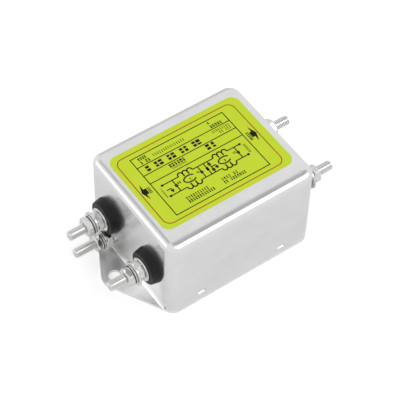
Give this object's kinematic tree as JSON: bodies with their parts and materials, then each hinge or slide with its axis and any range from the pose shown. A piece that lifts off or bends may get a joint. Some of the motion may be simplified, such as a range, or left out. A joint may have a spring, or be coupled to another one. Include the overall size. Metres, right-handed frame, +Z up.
{
  "type": "emi line filter",
  "caption": "Boxed mains interference filter: drawn metal can with a printed label, insulated stud terminals at both ends, and a base plate with fixing ears.",
  "frame": {"origin": "centre of the base plate's underside", "axes": "+Z up from the base plate to the label, -X towards the line end with the earth stud, +X towards the load end"},
  "size_m": [0.1022, 0.054, 0.0406],
  "materials": {
    "case_plating": "satin nickel plate on drawn steel",
    "plate_plating": "satin nickel plate on stamped steel",
    "stud_plating": "bright nickel plate on a steel screw",
    "nut_plating": "bright nickel plate",
    "washer_plating": "bright nickel plate",
    "spring_steel": "dull nickel plate on spring steel",
    "collar_plastic": "moulded, fine matt skin",
    "label_film": "printed film, semi-gloss",
    "border_ink": "screen print",
    "black_ink": "screen print",
    "laminate": "glass-epoxy laminate",
    "ferrite": "coated ferrite",
    "winding_wire": "enamelled copper wire",
    "tinned_copper": "tinned copper",
    "capacitor_box": "moulded box",
    "disc_ceramic": "dipped disc",
    "resistor_body": "dipped body"
  },
  "bodies": {
    "root": {"case_shell": "case_plating", "base_plate": "plate_plating", "label_film": "label_film", "label_border": "border_ink", "label_print": "black_ink", "line_a_stud": "stud_plating", "line_a_insulator": "collar_plastic", "line_a_inner_insulator": "collar_plastic", "line_a_lead": "tinned_copper", "line_a_clamp_washer": "washer_plating", "line_a_clamp_nut": "nut_plating", "line_a_flat_washer": "washer_plating", "line_a_spring_washer": "spring_steel", "line_a_terminal_nut": "nut_plating", "line_b_stud": "stud_plating", "line_b_insulator": "collar_plastic", "line_b_inner_insulator": "collar_plastic", "line_b_lead": "tinned_copper", "line_b_clamp_washer": "washer_plating", "line_b_clamp_nut": "nut_plating", "line_b_flat_washer": "washer_plating", "line_b_spring_washer": "spring_steel", "line_b_terminal_nut": "nut_plating", "load_a_stud": "stud_plating", "load_a_insulator": "collar_plastic", "load_a_inner_insulator": "collar_plastic", "load_a_lead": "tinned_copper", "load_a_clamp_washer": "washer_plating", "load_a_clamp_nut": "nut_plating", "load_a_flat_washer": "washer_plating", "load_a_spring_washer": "spring_steel", "load_a_terminal_nut": "nut_plating", "load_b_stud": "stud_plating", "load_b_insulator": "collar_plastic", "load_b_inner_insulator": "collar_plastic", "load_b_lead": "tinned_copper", "load_b_clamp_washer": "washer_plating", "load_b_clamp_nut": "nut_plating", "load_b_flat_washer": "washer_plating", "load_b_spring_washer": "spring_steel", "load_b_terminal_nut": "nut_plating", "earth_stud": "stud_plating", "earth_lock_washer": "spring_steel", "earth_clamp_nut": "nut_plating", "earth_flat_washer": "washer_plating", "earth_spring_washer": "spring_steel", "earth_terminal_nut": "nut_plating", "component_board": "laminate", "line_choke_core": "ferrite", "load_choke_core": "ferrite", "line_choke_winding_a": "winding_wire", "line_choke_winding_b": "winding_wire", "load_choke_winding_a": "winding_wire", "load_choke_winding_b": "winding_wire", "line_x_capacitor": "capacitor_box", "middle_x_capacitor": "capacitor_box", "load_x_capacitor": "capacitor_box", "y_capacitors": "disc_ceramic", "bleed_resistor": "resistor_body"}
  },
  "joints": []
}
